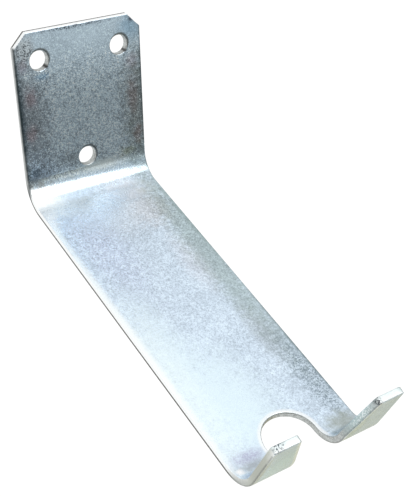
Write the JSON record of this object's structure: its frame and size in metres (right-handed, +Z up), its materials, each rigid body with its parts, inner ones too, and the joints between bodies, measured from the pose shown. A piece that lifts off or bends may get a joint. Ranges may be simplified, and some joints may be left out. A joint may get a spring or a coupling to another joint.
{
  "type": "bike pedal wall hook",
  "caption": "Folded zinc plated steel wall hook: a screw plate, a sloping arm and upturned lips on each side of a flared notch that holds a bicycle by its pedal.",
  "frame": {"origin": "on the wall face of the plate, midway between the two upper screw holes", "axes": "+X right as seen from the room, +Y into the wall, +Z up; the arm runs out along -Y and slopes down"},
  "size_m": [0.06, 0.1798, 0.1253],
  "materials": {
    "zinc_plated_steel": "bright zinc plating over hot rolled sheet, satin, with a fine mottled grain"
  },
  "bodies": {
    "root": {"pedal_hook": "zinc_plated_steel"}
  },
  "joints": []
}
